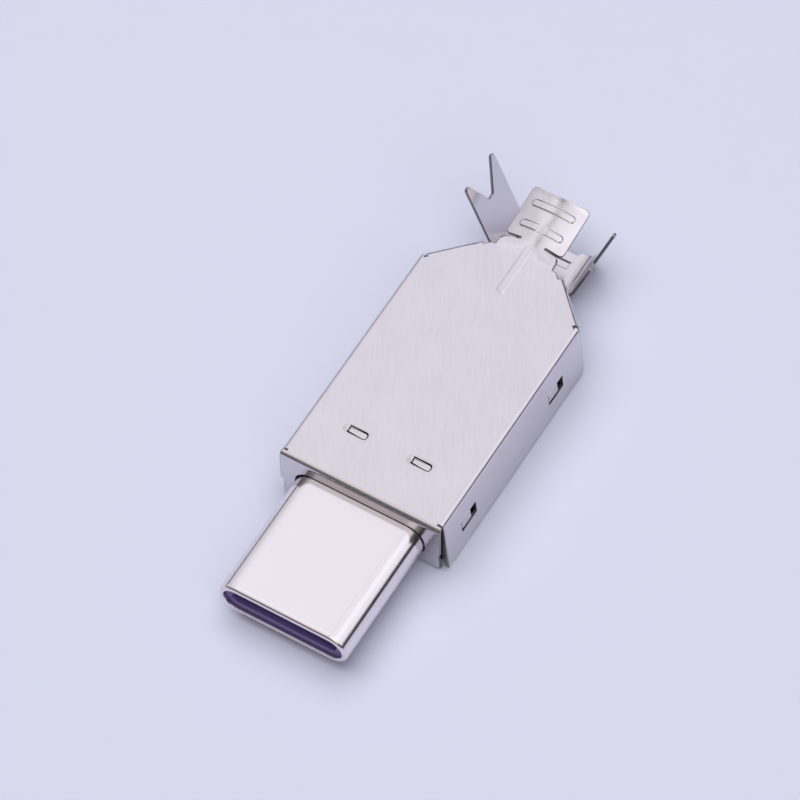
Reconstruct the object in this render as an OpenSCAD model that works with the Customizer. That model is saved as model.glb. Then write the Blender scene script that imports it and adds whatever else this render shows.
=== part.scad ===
// Type-C cable plug in two folded sheet covers, before the cable is fitted.
// The plug mouth points to -Y, the cable tail to +Y, and the lower cover rests on Z = 0.

/* [Covers] */
// Outside width of the upper cover across its top plate
body_w = 10.4; // [9.8:0.1:11.6]
// Length of the straight sides, from the front flanges to the tapers
body_l = 15.2; // [14:0.1:18]
// Height of the closed pair of covers
body_h = 4.3; // [4.1:0.05:5]
// How far each rear corner is cut back, along both edges
taper = 2.6; // [2.3:0.05:2.8]
// Thickness of the plated sheet of both covers
sheet = 0.2; // [0.18:0.01:0.25]
// Outside radius of the bends
bend_r = 0.35; // [0.32:0.01:0.45]
// Clearance between the nested walls of the two covers
nest_gap = 0.05; // [0.03:0.01:0.1]
// Angle by which the side walls of the upper cover stand open
splay = 2.7; // [1:0.1:3.5]
// Angle by which the front flanges stand open
flange_splay = 3; // [0:0.5:4]
// Gap between the front flanges and the side walls
corner_relief = 0.2; // [0.1:0.01:0.25]
// Distance by which the taper flanges stop short of the side walls
taper_relief = 0.3; // [0.25:0.01:0.5]
// Distance by which the taper flanges stop short of the rear edge
rear_relief = 0.1; // [0.05:0.01:0.3]
// How far the upper front flange stops short of the body width at each side
flange_inset = 0.05; // [0.02:0.01:0.12]
// How far the lower front flange stops short of the upper one at each side
flange_step = 0.15; // [0.05:0.01:0.25]
// Distance of the seam between the front flanges below the plug's centre
seam_drop = 0.28; // [0.1:0.02:0.4]
// Gap between the upper and lower front flanges
seam_gap = 0.03; // [0.02:0.01:0.08]
// Height of the side walls of the lower cover
inner_wall_h = 3.2; // [3:0.05:3.5]
// Radius of the lower rear corner of each side wall
wall_corner_r = 0.4; // [0.2:0.05:0.8]

/* [Snap locks] */
// Length of each side window
window_l = 1.55; // [1.3:0.05:1.8]
// Height of each side window
window_h = 1.05; // [0.9:0.05:1.3]
// Height of the windows' lower edge above the underside
window_z = 1.45; // [1.3:0.05:1.5]
// Distance from the front flange to the first window
window_y = 2.05; // [1.6:0.05:2.6]
// Distance between the two windows of a wall
window_pitch = 9.45; // [8:0.05:10.5]
// Length of each barb
barb_l = 0.95; // [0.8:0.05:1.1]
// Gap between a barb's free edge and the window's lower edge
barb_drop = 0.3; // [0.15:0.01:0.4]
// Height over which each barb steps outwards into its window
barb_step = 0.12; // [0.08:0.01:0.18]
// Clearance between a barb and the front and top edges of its window
barb_fit = 0.03; // [0.02:0.01:0.06]

/* [Top plate] */
// Distance of each pressing tab from the centre line
tab_x = 2.05; // [1.6:0.05:2.6]
// Distance of the pressing tabs from the front flange
tab_y = 3.25; // [2.5:0.05:4]
// Length of each pressing tab
tab_l = 1.15; // [0.9:0.05:1.4]
// Width of each pressing tab
tab_w = 0.38; // [0.3:0.01:0.5]
// Width of the slit round each pressing tab
tab_slit = 0.06; // [0.05:0.01:0.12]
// How far each pressing tab lies below the top plate
tab_drop = 0.08; // [0.06:0.01:0.15]
// Length over which each pressing tab steps down
tab_ramp = 0.2; // [0.15:0.01:0.3]
// Width of the stiffening bead on the centre line
bead_w = 0.6; // [0.4:0.05:0.7]
// Height of the stiffening bead
bead_h = 0.05; // [0.04:0.01:0.1]
// Length of the stiffening bead on the top plate
bead_l = 2.8; // [2:0.05:3.5]
// Length of the stiffening bead on the neck
bead_neck_l = 0.8; // [0.5:0.05:0.9]

/* [Cable tail] */
// Length of the neck behind the top plate
neck_l = 0.95; // [0.85:0.05:1]
// Angle by which the neck and tongue rise
neck_pitch = 7; // [3:0.5:9]
// Width of the neck
neck_w = 3.7; // [3.3:0.1:3.9]
// Radius of the neck's rear corners
neck_corner_r = 0.4; // [0.2:0.05:0.6]
// Width of the bridge between neck and tongue
bridge_w = 1.6; // [1.2:0.1:2]
// Width of the slits beside the bridge
slit_w = 0.1; // [0.08:0.01:0.2]
// Length of the arched tongue
tongue_l = 3.3; // [3:0.1:3.6]
// Width of the arched tongue
tongue_w = 3.75; // [3.5:0.05:3.9]
// Outside radius of the tongue's arch
tongue_r = 4.8; // [4:0.1:6]
// Radius of the tongue's corners
tongue_corner_r = 0.3; // [0.2:0.05:0.5]
// Width of each grip rib
rib_w = 0.45; // [0.35:0.05:0.6]
// Height of each grip rib
rib_h = 0.09; // [0.06:0.01:0.14]
// Length of each grip rib across the tongue
rib_l = 2.9; // [2.4:0.1:3.1]
// Distance from the front edge of the tongue to the first grip rib
rib_y = 0.9; // [0.6:0.05:1.1]
// Distance between the two grip ribs of the tongue
rib_pitch = 1.4; // [1.2:0.05:1.6]
// Width of the flat floor of the tail
tail_w = 2.5; // [2.3:0.05:2.8]
// Height of the tail floor above the underside of the bottom plate
tail_rise = 0.12; // [0.1:0.01:0.2]
// Clearance under the grip groove of the tail floor
groove_gap = 0.02; // [0.01:0.01:0.04]
// Width of the grip groove of the tail floor
groove_w = 0.65; // [0.45:0.05:0.8]
// Distance from the front of the ears to the grip groove
groove_y = 1.88; // [1.2:0.02:2.2]
// Length of the tail floor along the ears
floor_l = 2.8; // [2.6:0.05:2.9]
// Inside radius between the tail floor and the ears
tail_r = 1.3; // [1.1:0.05:1.5]
// Length of the ears along the plug
ear_l = 3.05; // [2.9:0.05:3.3]
// Distance from the rear edge of the top plate to the ears
ear_y = 1.07; // [0.8:0.01:1.3]
// Angle by which the ears lean outwards
ear_lean = 19.8; // [10:0.1:25]
// Height of the tips of the long ear
ear_tall = 6.35; // [5.8:0.05:6.8]
// Height of the tips of the short ear
ear_short = 4.15; // [3.9:0.05:5]
// Depth of the forked notch of each ear
notch_depth = 2.1; // [1.8:0.05:2.4]
// Radius of the prong tips
prong_r = 0.2; // [0.15:0.01:0.25]
// Width of the bottom of the forked notch
notch_w = 0.4; // [0.2:0.05:0.6]

/* [Plug] */
// Outside width of the plug shell
plug_w = 8.25; // [8:0.05:8.4]
// Outside thickness of the plug shell
plug_t = 2.4; // [2.3:0.02:2.6]
// Length of the plug in front of the flanges
plug_l = 8.2; // [7.5:0.1:10]
// Height of the plug's centre above the underside
plug_z = 2.08; // [1.9:0.02:2.2]
// Wall of the plug shell
shell_wall = 0.3; // [0.25:0.01:0.34]
// Length of the plug shell behind the front face of the flanges
shell_tail = 2; // [1.4:0.1:2.6]
// Outside radius of the rolled front lip
lip_r = 0.2; // [0.16:0.02:0.3]
// How far the front lip turns in past the inside of the wall
lip_turn = 0.03; // [0.02:0.01:0.1]
// Clearance beside and above the plug shell in the flanges
plug_gap = 0.04; // [0.03:0.01:0.08]
// Corner radius of the plug opening in the flanges
opening_r = 1.1; // [0.6:0.05:1.15]
// Clearance between the moulded pieces and what holds them
fit = 0.02; // [0.01:0.01:0.03]
// Height of the mouth
mouth_h = 0.86; // [0.8:0.02:0.9]
// Depth of the mouth behind the insulator's front
mouth_l = 5.3; // [5:0.1:5.6]
// Length of the insulator
insulator_l = 6.7; // [6.3:0.1:7]

/* [Contacts] */
// Distance between neighbouring contact positions
pitch = 0.5; // [0.48:0.01:0.52]
// Width of a contact
contact_w = 0.25; // [0.2:0.01:0.28]
// Thickness of a contact
contact_t = 0.15; // [0.1:0.01:0.17]
// Free gap between the facing contact points
contact_gap = 0.54; // [0.5:0.02:0.6]
// Distance from the insulator's front to the contact points
contact_point = 2; // [1.8:0.1:2.4]
// Length of a contact's lead-in ahead of its contact point
contact_nose = 0.9; // [0.7:0.05:1]
// Thickness of the side latch plate
latch_t = 0.2; // [0.15:0.01:0.24]
// Width of each latch arm
latch_arm_w = 0.24; // [0.18:0.01:0.28]
// How far each latch hook reaches into the mouth
latch_hook = 0.3; // [0.2:0.02:0.4]
// Thickness of the ground springs
spring_t = 0.08; // [0.06:0.01:0.1]
// Width of the ground springs
spring_w = 5; // [4:0.1:5.6]
// Length of the ground springs along the plug
spring_l = 0.75; // [0.6:0.05:0.8]
// Distance of the ground springs behind the insulator's front
spring_setback = 0.3; // [0.2:0.05:0.4]
// Width of a ground spring finger
finger_w = 0.5; // [0.3:0.05:0.7]
// How far the fingers reach into the mouth
finger_reach = 0.1; // [0.05:0.01:0.15]

/* [Board] */
// Width of the paddle board
board_w = 8.4; // [7.4:0.1:8.8]
// Length of the paddle board
board_l = 10.5; // [9:0.1:12]
// Thickness of the paddle board
board_t = 0.8; // [0.7:0.05:0.9]
// Gap between the carriers and the board
board_gap = 0.2; // [0.1:0.05:0.4]
// Length of the contact tails on the board
contact_tail = 1.5; // [1.2:0.1:2]
// Thickness of the copper wire pads
pad_t = 0.04; // [0.03:0.01:0.07]
// Width of a wire pad
pad_w = 1.3; // [1:0.05:1.5]
// Length of a wire pad
pad_l = 2.4; // [1.5:0.1:3]
// Distance between neighbouring wire pads
pad_pitch = 1.9; // [1.7:0.05:2]
// Length of the chip resistor
resistor_l = 1; // [0.6:0.1:1.6]
// Width of the chip resistor
resistor_w = 0.5; // [0.3:0.05:0.8]
// Height of the chip resistor
resistor_h = 0.35; // [0.25:0.05:0.45]

/* [Hidden] */
$fn = 96;

// Contact positions that are fitted, counted along each row
upper_pins = [1, 4, 5, 6, 7, 9, 12];
lower_pins = [1, 4, 5, 9, 12];
row_middle = 6.5;
contact_nodes = concat(
    [for (pin = upper_pins) str("contact_a", pin)],
    [for (pin = lower_pins) str("contact_b", pin)]
);

// Colours
plated = "#d6d4de";
polished = "#e6e2ea";
purple = "#4a3a86";
black_moulding = "#26262a";
spring_steel = "#b9bac2";
gold = "#d9b45a";
laminate = "#2f6b46";
resistor_black = "#333338";

// Covers
half_w = body_w / 2;
diagonal = sqrt(2);
rear_y = body_l + taper;
nest_inset = sheet + nest_gap;
wall_front = sheet + corner_relief;
wall_rear = body_l;
flange_half = half_w - flange_inset;
inner_half = half_w - nest_inset;
seam_z = plug_z - seam_drop;
upper_taper_l = body_h - bend_r - seam_z;
lower_taper_l = seam_z - seam_gap - bend_r;
upper_flange_l = open_length(upper_taper_l, flange_splay);
lower_flange_l = open_length(lower_taper_l, flange_splay);
taper_strip = taper * diagonal - taper_relief - rear_relief;
cut = 1;

// Snap locks
window_starts = [window_y, window_y + window_pitch];
window_top = window_z + window_h;
barb_top = window_top - barb_fit;
barb_bottom = window_z + barb_drop;

// Cable tail
tongue_y = rear_y + neck_l + slit_w;
tongue_edge = tongue_w / 2 - tongue_corner_r;
tongue_drop = tongue_r - sqrt(pow(tongue_r - sheet, 2) - pow(tongue_edge, 2));
tail_end = rear_y + (tongue_y + tongue_l - rear_y) * cos(neck_pitch) + tongue_drop * sin(neck_pitch);
ear_start = rear_y + ear_y;
ear_rise = tail_rise + sheet + tail_r - tail_r * sin(ear_lean);
bead_r = (bead_w * bead_w / 4 + bead_h * bead_h) / (2 * bead_h);
groove_h = tail_rise - groove_gap;
groove_r = (groove_w * groove_w / 4 + groove_h * groove_h) / (2 * groove_h);
rib_r = (rib_w * rib_w / 4 + rib_h * rib_h) / (2 * rib_h);
rib_angle = 2 * asin(rib_l / 2 / tongue_r);

// Plug
plug_r = plug_t / 2;
plug_axis = plug_w / 2 - plug_r;
bore_r = plug_r - shell_wall;
core_r = bore_r - fit;
core_w = 2 * (plug_axis + core_r);
mouth_r = mouth_h / 2;
mouth_w = 2 * (plug_axis + mouth_r);
insulator_front = lip_r + fit - plug_l;
insulator_rear = insulator_front + insulator_l;
mouth_end = insulator_front + mouth_l;
carrier_front = insulator_rear + fit;
carrier_rear = shell_tail + board_gap;
board_front = carrier_rear + board_gap;
latch_x = mouth_w / 2 + fit;
latch_front = insulator_front + contact_point;
spring_front = insulator_front + spring_setback;
spring_top = core_r - fit;
finger_count = 3;
finger_pitch = spring_w / finger_count;
finger_l = spring_l / 3;

// Contacts
contact_low = board_t / 2;
contact_top = contact_low + contact_t;
contact_y = insulator_front + contact_point;
contact_tip = contact_y - contact_nose;
tail_y = board_front + contact_tail;
slot_w = contact_w + 2 * fit;
slot_top = contact_top + 5 * fit;
slot_front = contact_tip - 2 * fit;

// The model is moved so that the middle of its length lies at the origin.
middle_y = (tail_end - plug_l) / 2;

module along_y(start, end) {
    translate([0, end, 0]) rotate([90, 0, 0]) linear_extrude(end - start) children();
}

module along_x(width) {
    translate([-width / 2, 0, 0]) rotate([90, 0, 90]) linear_extrude(width) children();
}

module both_sides() {
    children();
    mirror([1, 0, 0]) children();
}

module stadium(width, height) {
    square([width - height, height], center = true);
    for (side = [-1, 1]) translate([side * (width - height) / 2, 0]) circle(height / 2);
}

module ring_sector(outer, inner, from, to) {
    middle = (from + to) / 2;
    intersection() {
        difference() {
            circle(outer);
            circle(inner);
        }
        polygon([[0, 0], for (angle = [from, middle, to]) 2 * outer * [cos(angle), sin(angle)]]);
    }
}

// Section of a flange that bends down from the edge of a plate whose top lies at height 0.
module flange_section(length, open) {
    translate([0, -bend_r]) {
        ring_sector(bend_r, bend_r - sheet, open, 90);
        rotate(open) translate([bend_r - sheet, -length]) square([sheet, length]);
    }
}

module flange(width, length, open = 0) {
    along_y(-width / 2, width / 2) flange_section(length, open);
}

// Length of the flat part of an open flange whose inner edge ends as deep as that of a closed one.
function open_length(length, open) = (length + (bend_r - sheet) * sin(open)) / cos(open);

// Flat area of a cover, inside its bends.
function plate_outline(inset) = let (
    side = half_w - inset,
    corner = body_l + inset * (1 - diagonal),
    rear = half_w - taper - inset * diagonal
) [[-side, bend_r], [side, bend_r], [side, corner], [rear, rear_y], [-rear, rear_y], [-side, corner]];

module plate(inset) {
    linear_extrude(sheet) polygon(plate_outline(inset));
}

module taper_flanges(inset, length) {
    reach = (inset + bend_r) / diagonal;
    both_sides() translate([half_w - taper / 2 - reach, body_l + taper / 2 - reach, 0]) rotate([0, 0, 45])
        translate([0, (taper_relief - rear_relief) / 2, 0]) flange(taper_strip - 2 * inset, length);
}

module front_flange(half, length) {
    translate([0, bend_r, 0]) rotate([0, 0, -90]) flange(2 * half, length, flange_splay);
}

module rounded(width, height, radius) {
    square([width - 2 * radius, height], center = true);
    square([width, height - 2 * radius], center = true);
    for (x = [-1, 1], y = [-1, 1])
        translate([x * (width / 2 - radius), y * (height / 2 - radius)]) circle(radius);
}

module plug_opening() {
    translate([0, 0, plug_z]) along_y(-cut, sheet + cut / 2)
        rounded(plug_w + 2 * plug_gap, plug_t + 2 * plug_gap, opening_r);
}

// Upper cover

module upper_side_wall() {
    length = (body_h - bend_r) / cos(splay);
    difference() {
        translate([half_w - bend_r, (wall_front + wall_rear) / 2, body_h])
            flange(wall_rear - wall_front, length, splay);
        translate([half_w - cut, 0, -cut]) cube([2 * cut, body_l, cut]);
        translate([half_w, wall_rear - wall_corner_r, wall_corner_r]) along_x(2 * cut) difference() {
            translate([0, -wall_corner_r]) square(wall_corner_r);
            circle(wall_corner_r);
        }
        for (start = window_starts)
            translate([half_w - cut, start, window_z]) cube([2 * cut, window_l, window_h]);
    }
}

// The neck and the tongue turn up at the rear edge of the top plate.
module pitched() {
    translate([0, rear_y, body_h]) rotate([neck_pitch, 0, 0]) translate([0, -rear_y, -body_h]) children();
}

module bead(start, end, drop) {
    translate([0, 0, body_h + bead_h - bead_r - drop]) {
        along_y(start, end) circle(bead_r);
        for (y = [start, end]) translate([0, y, 0]) sphere(bead_r);
    }
}

module raised_bead(start, end) {
    intersection() {
        bead(start, end, 0);
        translate([-bead_w, start - bead_w, body_h - sheet / 2])
            cube([2 * bead_w, end - start + 2 * bead_w, sheet]);
    }
}

module tongue_plan() {
    translate([0, tongue_y + tongue_l / 2]) rounded(tongue_w, tongue_l, tongue_corner_r);
    translate([-bridge_w / 2, tongue_y - slit_w - sheet]) square([bridge_w, slit_w + 2 * sheet]);
}

module tongue_ribs(drop) {
    for (y = [rib_y, rib_y + rib_pitch]) translate([0, tongue_y + y, body_h - tongue_r])
        rotate([90, 0, 0]) rotate([0, 0, 90 - rib_angle / 2]) rotate_extrude(angle = rib_angle) intersection() {
            translate([tongue_r + rib_h - rib_r - drop, 0]) circle(rib_r);
            translate([tongue_r - sheet / 2 - drop, -rib_w]) square(2 * rib_w);
        }
}

module tongue() {
    intersection() {
        difference() {
            union() {
                translate([0, 0, body_h - tongue_r]) along_y(rear_y, tongue_y + tongue_l) difference() {
                    circle(tongue_r);
                    circle(tongue_r - sheet);
                }
                tongue_ribs(0);
            }
            tongue_ribs(sheet);
        }
        translate([0, 0, body_h - tongue_r / 2]) linear_extrude(tongue_r) tongue_plan();
    }
}

module both_tabs() {
    for (side = [-1, 1]) translate([side * tab_x, tab_y, body_h]) children();
}

module tab_opening() {
    translate([-tab_l / 2, -tab_w / 2 - tab_slit, -cut])
        cube([tab_l + tab_slit, tab_w + 2 * tab_slit, 2 * cut]);
}

// Each pressing tab steps down from its hinge and then lies parallel to the top plate.
module pressing_tab() {
    translate([-tab_l / 2, 0, 0]) along_y(-tab_w / 2, tab_w / 2) polygon([
        [-sheet / 2, 0], [0, 0], [tab_ramp, -tab_drop], [tab_l, -tab_drop],
        [tab_l, -tab_drop - sheet], [tab_ramp, -tab_drop - sheet], [0, -sheet], [-sheet / 2, -sheet]
    ]);
}

module top_plate() {
    bead_start = rear_y - bead_l + bead_w / 2;
    difference() {
        union() {
            translate([0, 0, body_h - sheet]) plate(bend_r);
            raised_bead(bead_start, rear_y);
        }
        bead(bead_start, rear_y, sheet);
        both_tabs() tab_opening();
    }
    both_tabs() pressing_tab();
}

module neck() {
    start = rear_y - sheet / 2 - neck_corner_r;
    end = rear_y + neck_l;
    bead_end = rear_y + bead_neck_l - bead_w / 2;
    difference() {
        union() {
            translate([0, 0, body_h - sheet]) linear_extrude(sheet) difference() {
                translate([0, (start + end) / 2]) rounded(neck_w, end - start, neck_corner_r);
                translate([-neck_w, start]) square([2 * neck_w, neck_corner_r]);
            }
            raised_bead(rear_y, bead_end);
        }
        bead(rear_y + sheet, bead_end, sheet);
    }
}

module upper_cover() {
    color(plated) difference() {
        union() {
            top_plate();
            both_sides() upper_side_wall();
            translate([0, 0, body_h]) front_flange(flange_half, upper_flange_l);
            translate([0, 0, body_h]) taper_flanges(0, upper_taper_l);
            pitched() {
                neck();
                tongue();
            }
        }
        plug_opening();
    }
}

// Lower cover

// How far the outside of the upper cover's wall lies from the lower cover's wall at a height.
function wall_reach(z) = nest_inset + (body_h - bend_r - z) * tan(splay);

// Each barb steps outwards under the top edge of its window and then runs flush with the wall around it.
module barb() {
    foot = inner_half - sheet;
    shoulder = barb_top - barb_step;
    along_y(0, barb_l) polygon([
        [foot, barb_top], [inner_half, barb_top],
        [inner_half + wall_reach(shoulder), shoulder], [inner_half + wall_reach(barb_bottom), barb_bottom],
        [foot + wall_reach(barb_bottom), barb_bottom], [foot + wall_reach(shoulder), shoulder - sheet],
        [foot, barb_top - sheet]
    ]);
}

module lower_side_wall() {
    height = inner_wall_h - bend_r;
    difference() {
        translate([inner_half - bend_r, (wall_front + wall_rear) / 2, 0]) mirror([0, 0, 1])
            flange(wall_rear - wall_front - 2 * nest_inset, height);
        for (start = window_starts) translate([inner_half - cut, start + barb_fit, barb_bottom])
            cube([2 * cut, barb_l, barb_top - barb_bottom]);
    }
    for (start = window_starts) translate([0, start + barb_fit, 0]) barb();
}

// Outline of one ear, laid flat: length along the plug across, height above the tail bend upwards.
function tangent(point, centre, radius, side) = let (
    away = point - centre,
    distance = norm(away),
    angle = atan2(away.y, away.x) + side * acos(radius / distance)
) centre + radius * [cos(angle), sin(angle)];

module ear_outline(height) {
    floor_y = height - notch_depth;
    tip_y = height - prong_r;
    front = [prong_r, tip_y];
    rear = [ear_l - prong_r, tip_y];
    notch_front = [(ear_l - notch_w) / 2, floor_y];
    notch_rear = [(ear_l + notch_w) / 2, floor_y];
    polygon([
        [0, -sheet], [ear_l, -sheet], [ear_l, tip_y], rear, tangent(notch_rear, rear, prong_r, -1), notch_rear,
        notch_front, tangent(notch_front, front, prong_r, 1), front, [0, tip_y]
    ]);
    for (tip = [front, rear]) translate(tip) circle(prong_r);
}

module ear(top) {
    height = (top - ear_rise) / cos(ear_lean);
    translate([tail_w / 2, ear_start, tail_rise + sheet + tail_r]) rotate([0, ear_lean, 0])
        translate([tail_r, 0, 0]) rotate([90, 0, 90]) linear_extrude(sheet) ear_outline(height);
}

module tail_bend() {
    translate([tail_w / 2, 0, tail_rise + sheet + tail_r]) along_y(ear_start, ear_start + ear_l)
        ring_sector(tail_r + sheet, tail_r, -90, -ear_lean);
}

module tail_groove(drop) {
    translate([0, ear_start + groove_y, tail_rise + sheet - groove_h + groove_r - drop]) rotate([0, 90, 0])
        cylinder(r = groove_r, h = tail_w - bend_r, center = true);
}

module tail_floor() {
    ramp_end = ear_start - nest_inset;
    floor_end = ear_start + floor_l;
    difference() {
        union() {
            along_x(tail_w) polygon([
                [rear_y - bend_r, 0], [rear_y, 0], [ramp_end, tail_rise], [floor_end, tail_rise],
                [floor_end, tail_rise + sheet], [ramp_end, tail_rise + sheet], [rear_y, sheet],
                [rear_y - bend_r, sheet]
            ]);
            intersection() {
                tail_groove(sheet);
                translate([-tail_w / 2, ear_start, tail_rise - groove_h]) cube([tail_w, floor_l, sheet]);
            }
        }
        tail_groove(0);
    }
}

module lower_cover() {
    color(plated) difference() {
        union() {
            plate(nest_inset + bend_r);
            both_sides() lower_side_wall();
            mirror([0, 0, 1]) front_flange(flange_half - flange_step, lower_flange_l);
            mirror([0, 0, 1]) taper_flanges(nest_inset, lower_taper_l);
            tail_floor();
            both_sides() tail_bend();
            ear(ear_short);
            mirror([1, 0, 0]) ear(ear_tall);
        }
        plug_opening();
    }
}

// Plug

// Section of the shell wall: distance from the mid line across, place along the plug upwards.
module shell_section() {
    translate([bore_r, lip_r - plug_l]) square([shell_wall, shell_tail + plug_l - lip_r]);
    translate([plug_r - lip_r, lip_r - plug_l]) intersection() {
        circle(lip_r);
        translate([0, -lip_r]) square(lip_r);
    }
    translate([bore_r - lip_turn, -plug_l]) square([plug_r - lip_r - bore_r + lip_turn, lip_r]);
}

module plug_shell() {
    color(polished) translate([0, 0, plug_z]) {
        both_sides() translate([plug_axis, 0, 0]) rotate([-90, 0, 0]) rotate([0, 0, -90])
            rotate_extrude(angle = 180) shell_section();
        for (turn = [0, 180]) rotate([0, turn, 0]) along_x(2 * plug_axis) mirror([1, -1]) shell_section();
    }
}

module contact_places(pins, row) {
    for (pin = pins) translate([row * (pin - row_middle) * pitch, 0, 0]) children();
}

module contact_slots() {
    length = insulator_rear + cut - slot_front;
    translate([-slot_w / 2, slot_front, 0]) cube([slot_w, length, slot_top]);
}

module ground_spring_pocket() {
    translate([-spring_w / 2 - fit, spring_front - fit, spring_top - spring_t - fit])
        cube([spring_w + 2 * fit, spring_l + 2 * fit, cut]);
    for (finger = [1 - finger_count : 2 : finger_count - 1])
        translate([finger * finger_pitch / 2 - finger_w / 2 - fit, spring_front + finger_l - fit, 0])
            cube([finger_w + 2 * fit, finger_l + 2 * fit, cut]);
}

module latch_slot() {
    height = latch_t + 2 * fit;
    translate([mouth_w / 2 - mouth_h, latch_front - latch_hook - 2 * fit, -height / 2])
        cube([cut + mouth_h, insulator_l, height]);
}

module insulator() {
    color(purple) translate([0, 0, plug_z]) difference() {
        along_y(insulator_front, insulator_rear) stadium(core_w, 2 * core_r);
        along_y(insulator_front - cut, mouth_end) stadium(mouth_w, mouth_h);
        contact_places(upper_pins, 1) contact_slots();
        mirror([0, 0, 1]) contact_places(lower_pins, -1) contact_slots();
        both_sides() latch_slot();
        ground_spring_pocket();
        mirror([0, 0, 1]) ground_spring_pocket();
    }
}

module carrier(pins, row) {
    difference() {
        along_y(carrier_front, carrier_rear) difference() {
            stadium(core_w, 2 * core_r);
            translate([-plug_w, -plug_w]) square([2 * plug_w, plug_w + latch_t / 2 + fit]);
        }
        contact_places(pins, row) translate([-slot_w / 2, carrier_front - cut, contact_low - fit])
            cube([slot_w, carrier_rear - carrier_front + 2 * cut, contact_t + 2 * fit]);
    }
}

module upper_carrier() {
    color(black_moulding) translate([0, 0, plug_z]) carrier(upper_pins, 1);
}

module lower_carrier() {
    color(black_moulding) translate([0, 0, plug_z]) mirror([0, 0, 1]) carrier(lower_pins, -1);
}

module side_latch() {
    arm_end = latch_x + latch_arm_w;
    right = [
        [latch_x, carrier_front], [latch_x, latch_front + latch_hook], [latch_x - latch_hook, latch_front],
        [latch_x, latch_front - latch_hook], [arm_end, latch_front - latch_hook], [arm_end, carrier_rear]
    ];
    left = [for (place = [len(right) - 1 : -1 : 0]) [-right[place].x, right[place].y]];
    color(spring_steel) translate([0, 0, plug_z - latch_t / 2]) linear_extrude(latch_t)
        polygon(concat(right, left));
}

module ground_spring() {
    finger_low = mouth_r - finger_reach;
    translate([-spring_w / 2, spring_front, spring_top - spring_t]) cube([spring_w, spring_l, spring_t]);
    for (finger = [1 - finger_count : 2 : finger_count - 1])
        translate([finger * finger_pitch / 2 - finger_w / 2, spring_front + finger_l, finger_low])
            cube([finger_w, spring_t, spring_top - finger_low]);
}

module upper_ground_spring() {
    color(spring_steel) translate([0, 0, plug_z]) ground_spring();
}

module lower_ground_spring() {
    color(spring_steel) translate([0, 0, plug_z]) mirror([0, 0, 1]) ground_spring();
}

module contact_section() {
    point_low = contact_gap / 2;
    tip_low = contact_low + fit;
    polygon([
        [tail_y, contact_low], [mouth_end, contact_low], [contact_y, point_low], [contact_tip, tip_low],
        [contact_tip, tip_low + contact_t], [contact_y, point_low + contact_t], [mouth_end, contact_top],
        [tail_y, contact_top]
    ]);
}

module contact(pin, row) {
    color(gold) translate([row * (pin - row_middle) * pitch, 0, plug_z]) mirror([0, 0, row < 0 ? 1 : 0])
        along_x(contact_w) contact_section();
}

// Board

module wire_pads(count) {
    first = -(count - 1) / 2 * pad_pitch - pad_w / 2;
    pad_y = board_front + board_l - pad_l - pad_t;
    for (place = [0 : count - 1])
        translate([first + place * pad_pitch, pad_y, board_t / 2]) cube([pad_w, pad_l, pad_t]);
}

module paddle_board() {
    color(laminate) translate([0, 0, plug_z]) {
        translate([-board_w / 2, board_front, -board_t / 2]) cube([board_w, board_l, board_t]);
        wire_pads(4);
        mirror([0, 0, 1]) wire_pads(2);
    }
}

module chip_resistor() {
    cap = resistor_l / 4;
    y = (tail_y + board_front + board_l - pad_l) / 2;
    color(resistor_black) translate([-resistor_l / 2, y - resistor_w / 2, plug_z + board_t / 2]) {
        cube([resistor_l, resistor_w, resistor_h - pad_t]);
        for (x = [0, resistor_l - cap]) translate([x, 0, 0]) cube([cap, resistor_w, resistor_h]);
    }
}

translate([0, -middle_y, 0]) {
    plug_shell();
    upper_cover();
    lower_cover();
    insulator();
    upper_carrier();
    lower_carrier();
    side_latch();
    upper_ground_spring();
    lower_ground_spring();
    paddle_board();
    chip_resistor();
    for (pin = upper_pins) contact(pin, 1);
    for (pin = lower_pins) contact(pin, -1);
}
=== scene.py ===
from math import acos, atan2, cos, hypot, pi, radians, sin, sqrt, tan

import bpy
import numpy as np
from mathutils import Matrix, Vector
from mathutils.geometry import delaunay_2d_cdt


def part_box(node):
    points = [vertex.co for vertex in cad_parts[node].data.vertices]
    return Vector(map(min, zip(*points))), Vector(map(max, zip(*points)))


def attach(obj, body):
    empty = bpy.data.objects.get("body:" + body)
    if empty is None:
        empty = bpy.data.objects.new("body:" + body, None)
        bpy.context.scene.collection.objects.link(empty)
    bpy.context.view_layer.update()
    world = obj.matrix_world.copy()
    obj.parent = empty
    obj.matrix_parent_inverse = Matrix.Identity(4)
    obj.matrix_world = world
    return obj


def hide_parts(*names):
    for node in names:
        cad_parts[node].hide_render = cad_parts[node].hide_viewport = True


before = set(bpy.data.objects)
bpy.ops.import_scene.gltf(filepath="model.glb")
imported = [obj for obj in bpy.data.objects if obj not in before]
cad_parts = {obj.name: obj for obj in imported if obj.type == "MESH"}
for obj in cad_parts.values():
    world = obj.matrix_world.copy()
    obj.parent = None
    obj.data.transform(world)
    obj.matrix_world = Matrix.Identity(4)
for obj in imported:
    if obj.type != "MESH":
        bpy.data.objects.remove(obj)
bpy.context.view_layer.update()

MM = 0.001
ROOT2 = sqrt(2)
QUARTER = pi / 2

# Sizes of the part, in millimetres. Y counts from the front flanges, as in the part's source.

# Plug shell, with its rolled-in lip
PLUG_L, PLUG_W, PLUG_T, PLUG_Z = 8.2, 8.25, 2.4, 2.08
SHELL_WALL, SHELL_TAIL, SHELL_EDGE_R = 0.3, 2.0, 0.03
LIP_R, LIP_TURN, LIP_EDGE_R = 0.2, 0.03, 0.06

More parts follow.
